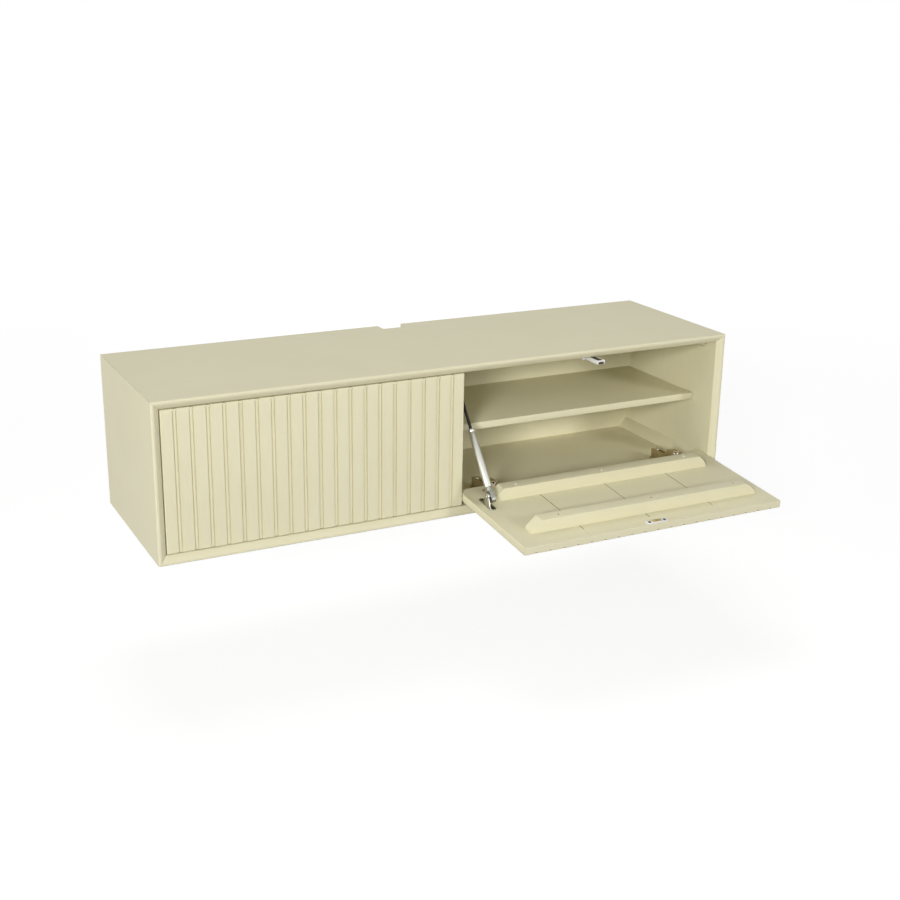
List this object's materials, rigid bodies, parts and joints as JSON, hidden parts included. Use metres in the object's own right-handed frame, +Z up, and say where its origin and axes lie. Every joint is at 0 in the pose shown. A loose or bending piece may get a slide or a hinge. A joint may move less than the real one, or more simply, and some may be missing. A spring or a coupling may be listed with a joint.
{
  "type": "floating media console",
  "caption": "Wall-hung media console in cream painted wood: two shelved bays behind drop-down grooved flap doors, one shut and one open on its stay.",
  "frame": {"origin": "the middle of the wall face of the lower hanging rail, at the centre of the console's width", "axes": "+X runs along the width to the right seen from the front, the front faces -Y and the wall side +Y, +Z is up"},
  "size_m": [1.2, 0.5827, 0.3],
  "materials": {
    "paint": "satin cream paint over fine-grained wood",
    "bronze": "dark bronze plating",
    "steel": "satin silver",
    "black_steel": "smooth black",
    "white_plastic": "moulded white plastic"
  },
  "bodies": {
    "carcass": {"top_panel": "paint", "bottom_panel": "paint", "left_side_panel": "paint", "right_side_panel": "paint", "centre_divider": "paint", "back_panel": "paint", "lower_rail": "paint", "upper_rail_left": "paint", "upper_rail_right": "paint", "shelf_left": "paint", "shelf_right": "paint", "left_floor_wall_strip": "paint", "left_floor_divider_strip": "paint", "left_top_wall_strip": "paint", "left_shelf_wall_strip": "paint", "left_shelf_divider_strip": "paint", "right_floor_wall_strip": "paint", "right_floor_divider_strip": "paint", "right_top_wall_strip": "paint", "right_shelf_wall_strip": "paint", "right_shelf_divider_strip": "paint", "left_inner_hinge_plate": "bronze", "left_inner_hinge_arm": "bronze", "left_outer_hinge_plate": "bronze", "left_outer_hinge_arm": "bronze", "right_inner_hinge_plate": "bronze", "right_inner_hinge_arm": "bronze", "right_outer_hinge_plate": "bronze", "right_outer_hinge_arm": "bronze", "left_latch_housing": "white_plastic", "right_latch_housing": "white_plastic", "left_stay_wall_bracket": "steel", "right_stay_wall_bracket": "steel"},
    "left_door": {"left_door_board_1": "paint", "left_door_board_2": "paint", "left_door_board_3": "paint", "left_door_board_4": "paint", "left_inner_batten": "paint", "left_outer_batten": "paint", "left_strike_plate": "white_plastic", "left_inner_hinge_cup": "bronze", "left_outer_hinge_cup": "bronze", "left_stay_door_bracket": "steel"},
    "right_door": {"right_door_board_1": "paint", "right_door_board_2": "paint", "right_door_board_3": "paint", "right_door_board_4": "paint", "right_inner_batten": "paint", "right_outer_batten": "paint", "right_strike_plate": "white_plastic", "right_inner_hinge_cup": "bronze", "right_outer_hinge_cup": "bronze", "right_stay_door_bracket": "steel"},
    "left_stay_barrel": {"left_stay_cylinder": "steel"},
    "right_stay_barrel": {"right_stay_cylinder": "steel"},
    "left_stay_slider": {"left_stay_rod": "black_steel"},
    "right_stay_slider": {"right_stay_rod": "black_steel"},
    "left_plunger": {"left_latch_plunger": "white_plastic"},
    "right_plunger": {"right_latch_plunger": "white_plastic"}
  },
  "joints": [
    {"name": "left_door_hinge", "type": "hinge", "parent": "carcass", "child": "left_door", "pos_m": [-0.2915, -0.334, -0.008], "axis": [1, 0, 0], "range_deg": [0, 95]},
    {"name": "right_door_hinge", "type": "hinge", "parent": "carcass", "child": "right_door", "pos_m": [0.2915, -0.334, -0.008], "axis": [1, 0, 0], "range_deg": [-95, 0]},
    {"name": "left_stay_pivot", "type": "hinge", "parent": "left_door", "child": "left_stay_barrel", "pos_m": [-0.0265, -0.306, 0.06201], "axis": [1, 0, 0], "range_deg": [-113.5, 0]},
    {"name": "right_stay_pivot", "type": "hinge", "parent": "right_door", "child": "right_stay_barrel", "pos_m": [0.0265, -0.40618, 0.01379], "axis": [1, 0, 0], "range_deg": [0, 113.5]},
    {"name": "left_stay_travel", "type": "slide", "parent": "left_stay_barrel", "child": "left_stay_slider", "axis": [0, 0.343, 0.9393], "range_m": [0, 0.0923]},
    {"name": "right_stay_travel", "type": "slide", "parent": "right_stay_barrel", "child": "right_stay_slider", "axis": [0, 0.6227, 0.7824], "range_m": [-0.0923, 0]},
    {"name": "left_plunger_travel", "type": "slide", "parent": "carcass", "child": "left_plunger", "axis": [0, -1, 0], "range_m": [0, 0.0356]},
    {"name": "right_plunger_travel", "type": "slide", "parent": "carcass", "child": "right_plunger", "axis": [0, -1, 0], "range_m": [-0.0356, 0]}
  ],
  "couplings": [
    {"joint": "left_stay_pivot", "follows": "left_door_hinge", "ratio": -1.1943},
    {"joint": "right_stay_pivot", "follows": "right_door_hinge", "ratio": -1.1943},
    {"joint": "left_stay_travel", "follows": "left_door_hinge", "m_per_rad": 0.055641},
    {"joint": "right_stay_travel", "follows": "right_door_hinge", "m_per_rad": 0.055641},
    {"joint": "left_plunger_travel", "follows": "left_door_hinge", "m_per_rad": 0.02147},
    {"joint": "right_plunger_travel", "follows": "right_door_hinge", "m_per_rad": 0.02147}
  ]
}
